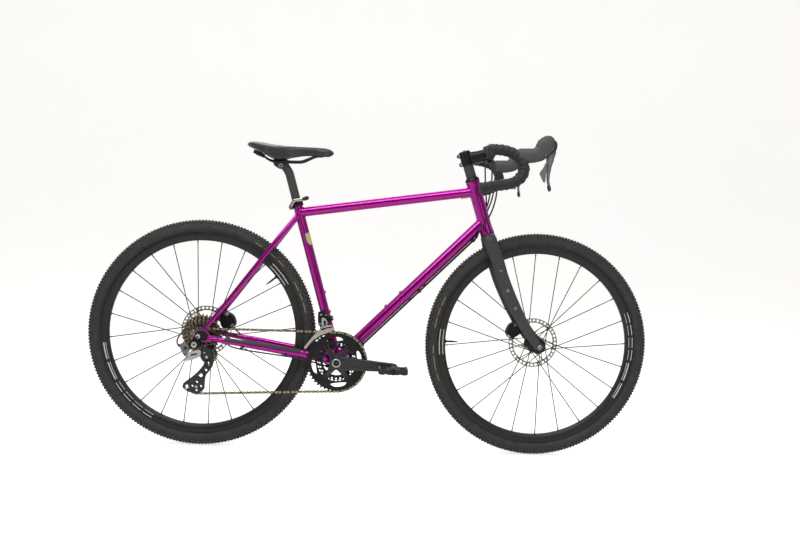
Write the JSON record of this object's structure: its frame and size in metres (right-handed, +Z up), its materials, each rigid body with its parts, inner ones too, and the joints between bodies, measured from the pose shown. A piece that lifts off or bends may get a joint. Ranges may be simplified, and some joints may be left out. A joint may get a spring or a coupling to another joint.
{
  "type": "road bicycle",
  "caption": "Drop-bar gravel road bicycle with a diamond steel frame, disc brakes, double chainset and wide tyres; wheels, cranks, steering, levers and derailleurs move.",
  "frame": {"origin": "on the ground, midway between the axles, in the wheels' plane", "axes": "+X forwards, +Y to the rider's left, +Z up"},
  "size_m": [1.774, 0.4958, 0.9961],
  "materials": {
    "frame_paint": "gloss metallic magenta paint",
    "fork_carbon": "matte dark grey carbon composite",
    "black_alloy": "black anodised, satin",
    "grey_alloy": "dark grey painted, satin",
    "silver_alloy": "bright anodised",
    "steel": "brushed",
    "nickel_steel": "nickel plated, brownish",
    "tyre_rubber": "black rubber with fine tread",
    "hood_rubber": "dark grey moulded rubber",
    "bar_tape": "black wrapped bar tape",
    "saddle_skin": "black synthetic leather",
    "black_plastic": "black moulded plastic"
  },
  "bodies": {
    "frame": {"frame": "frame_paint", "derailleur_hanger": "black_alloy", "headset_upper_cup": "black_alloy", "bottom_bracket": "black_alloy", "seat_clamp": "black_alloy", "fd_body": "black_alloy", "rear_caliper": "black_alloy", "rear_thru_axle": "black_alloy", "down_tube_cables": "black_plastic", "chain": "nickel_steel", "rd_b_knuckle": "black_alloy"},
    "seat_clamp_lever": {"seat_clamp_lever": "silver_alloy"},
    "seatpost": {"seatpost": "black_alloy", "saddle_base": "black_plastic", "saddle_cover": "saddle_skin"},
    "steering": {"fork": "fork_carbon", "headset_spacers": "grey_alloy", "stem": "black_alloy", "stem_faceplate": "black_alloy", "handlebar": "black_alloy", "bar_tape_right": "bar_tape", "bar_tape_left": "bar_tape", "lever_bracket_right": "hood_rubber", "lever_bracket_left": "hood_rubber", "front_caliper": "black_alloy", "front_brake_hose": "black_plastic", "front_thru_axle": "black_alloy"},
    "brake_lever_right": {"brake_lever_right": "grey_alloy"},
    "brake_lever_left": {"brake_lever_left": "grey_alloy"},
    "shift_paddle_right": {"shift_paddle_right": "grey_alloy"},
    "shift_paddle_left": {"shift_paddle_left": "grey_alloy"},
    "front_pad_inner": {"front_pad_inner": "nickel_steel"},
    "front_pad_outer": {"front_pad_outer": "nickel_steel"},
    "rear_pad_inner": {"rear_pad_inner": "nickel_steel"},
    "rear_pad_outer": {"rear_pad_outer": "nickel_steel"},
    "front_wheel": {"front_tyre": "tyre_rubber", "front_rim": "black_alloy", "front_spokes_left": "black_alloy", "front_spokes_right": "black_alloy", "front_hub": "black_alloy", "front_rotor": "steel"},
    "rear_wheel": {"rear_tyre": "tyre_rubber", "rear_rim": "black_alloy", "rear_spokes_left": "black_alloy", "rear_spokes_right": "black_alloy", "rear_hub": "black_alloy", "rear_rotor": "steel"},
    "cassette": {"cassette": "nickel_steel"},
    "crankset": {"right_crank": "grey_alloy", "left_crank": "grey_alloy", "outer_chainring": "black_alloy", "inner_chainring": "black_alloy"},
    "pedal_right": {"pedal_right": "black_plastic"},
    "pedal_left": {"pedal_left": "black_plastic"},
    "rd_link": {"rd_link": "silver_alloy"},
    "rd_p_knuckle": {"rd_p_knuckle": "grey_alloy"},
    "rd_cage": {"rd_cage": "black_alloy"},
    "rd_guide_pulley": {"rd_guide_pulley": "black_plastic"},
    "rd_tension_pulley": {"rd_tension_pulley": "black_plastic"},
    "fd_cage": {"fd_cage": "silver_alloy"}
  },
  "joints": [
    {"name": "steering", "type": "hinge", "parent": "frame", "child": "steering", "pos_m": [0.357, 0, 0.708], "axis": [-0.3173, 0, 0.9483], "range_deg": [-60, 60]},
    {"name": "front_wheel_spin", "type": "hinge", "parent": "steering", "child": "front_wheel", "pos_m": [0.53, 0, 0.357], "axis": [0, 1, 0], "continuous": true},
    {"name": "rear_wheel_spin", "type": "hinge", "parent": "frame", "child": "rear_wheel", "pos_m": [-0.53, 0, 0.357], "axis": [0, 1, 0], "continuous": true},
    {"name": "crank_spin", "type": "hinge", "parent": "frame", "child": "crankset", "pos_m": [-0.104, 0, 0.287], "axis": [0, 1, 0], "continuous": true},
    {"name": "cassette_spin", "type": "hinge", "parent": "frame", "child": "cassette", "pos_m": [-0.53, 0, 0.357], "axis": [0, 1, 0], "continuous": true},
    {"name": "pedal_right_spin", "type": "hinge", "parent": "crankset", "child": "pedal_right", "pos_m": [0.07076, -0.114, 0.27784], "axis": [0, 1, 0], "continuous": true},
    {"name": "pedal_left_spin", "type": "hinge", "parent": "crankset", "child": "pedal_left", "pos_m": [-0.27876, 0.114, 0.29616], "axis": [0, 1, 0], "continuous": true},
    {"name": "brake_lever_right", "type": "hinge", "parent": "steering", "child": "brake_lever_right", "pos_m": [0.499, -0.218, 0.962], "axis": [0, 1, 0], "range_deg": [0, 18]},
    {"name": "brake_lever_left", "type": "hinge", "parent": "steering", "child": "brake_lever_left", "pos_m": [0.499, 0.218, 0.962], "axis": [0, 1, 0], "range_deg": [0, 18]},
    {"name": "front_pad_inner", "type": "slide", "parent": "steering", "child": "front_pad_inner", "axis": [0, 1, 0], "range_m": [0, 0.0005]},
    {"name": "front_pad_outer", "type": "slide", "parent": "steering", "child": "front_pad_outer", "axis": [0, -1, 0], "range_m": [0, 0.0005]},
    {"name": "rear_pad_inner", "type": "slide", "parent": "frame", "child": "rear_pad_inner", "axis": [0, 1, 0], "range_m": [0, 0.0005]},
    {"name": "rear_pad_outer", "type": "slide", "parent": "frame", "child": "rear_pad_outer", "axis": [0, -1, 0], "range_m": [0, 0.0005]},
    {"name": "shift_paddle_right", "type": "hinge", "parent": "brake_lever_right", "child": "shift_paddle_right", "pos_m": [0.485, -0.229, 0.924], "axis": [1, 0, 0], "range_deg": [0, 12]},
    {"name": "shift_paddle_left", "type": "hinge", "parent": "brake_lever_left", "child": "shift_paddle_left", "pos_m": [0.485, 0.229, 0.924], "axis": [-1, 0, 0], "range_deg": [0, 12]},
    {"name": "seatpost_height", "type": "slide", "parent": "frame", "child": "seatpost", "axis": [-0.2823, 0, 0.9593], "range_m": [-0.04, 0.05]},
    {"name": "seat_clamp_lever", "type": "hinge", "parent": "frame", "child": "seat_clamp_lever", "pos_m": [-0.26712, -0.02, 0.76332], "axis": [-0.2823, 0, 0.9593], "range_deg": [-150, 0]},
    {"name": "fd_shift", "type": "slide", "parent": "frame", "child": "fd_cage", "axis": [0, 1, 0], "range_m": [0, 0.0075], "deforming": ["chain"]},
    {"name": "rd_shift", "type": "slide", "parent": "frame", "child": "rd_p_knuckle", "axis": [-0.4872, 0.7003, -0.5217], "range_m": [0, 0.04926], "deforming": ["chain"]},
    {"name": "rd_link_turn", "type": "hinge", "parent": "frame", "child": "rd_link", "pos_m": [-0.561, -0.09, 0.32], "axis": [0.4154, 0.7113, 0.567], "range_deg": [0, 48.6]},
    {"name": "rd_cage_pivot", "type": "hinge", "parent": "rd_p_knuckle", "child": "rd_cage", "pos_m": [-0.497, -0.0605, 0.297], "axis": [0, 1, 0], "range_deg": [-30, 10], "deforming": ["chain"]},
    {"name": "guide_pulley_spin", "type": "hinge", "parent": "rd_cage", "child": "rd_guide_pulley", "pos_m": [-0.497, -0.0605, 0.297], "axis": [0, 1, 0], "continuous": true},
    {"name": "tension_pulley_spin", "type": "hinge", "parent": "rd_cage", "child": "rd_tension_pulley", "pos_m": [-0.532, -0.0605, 0.198], "axis": [0, 1, 0], "continuous": true}
  ],
  "couplings": [
    {"joint": "cassette_spin", "follows": "crank_spin", "ratio": 4.1818},
    {"joint": "guide_pulley_spin", "follows": "crank_spin", "ratio": -4.1818},
    {"joint": "tension_pulley_spin", "follows": "crank_spin", "ratio": 4.1818},
    {"joint": "front_pad_inner", "follows": "brake_lever_left", "m_per_rad": 0.0015914},
    {"joint": "front_pad_outer", "follows": "brake_lever_left", "m_per_rad": 0.0015914},
    {"joint": "rear_pad_inner", "follows": "brake_lever_right", "m_per_rad": 0.0015914},
    {"joint": "rear_pad_outer", "follows": "brake_lever_right", "m_per_rad": 0.0015914},
    {"joint": "rd_link_turn", "follows": "rd_shift", "rad_per_m": 17.185}
  ]
}
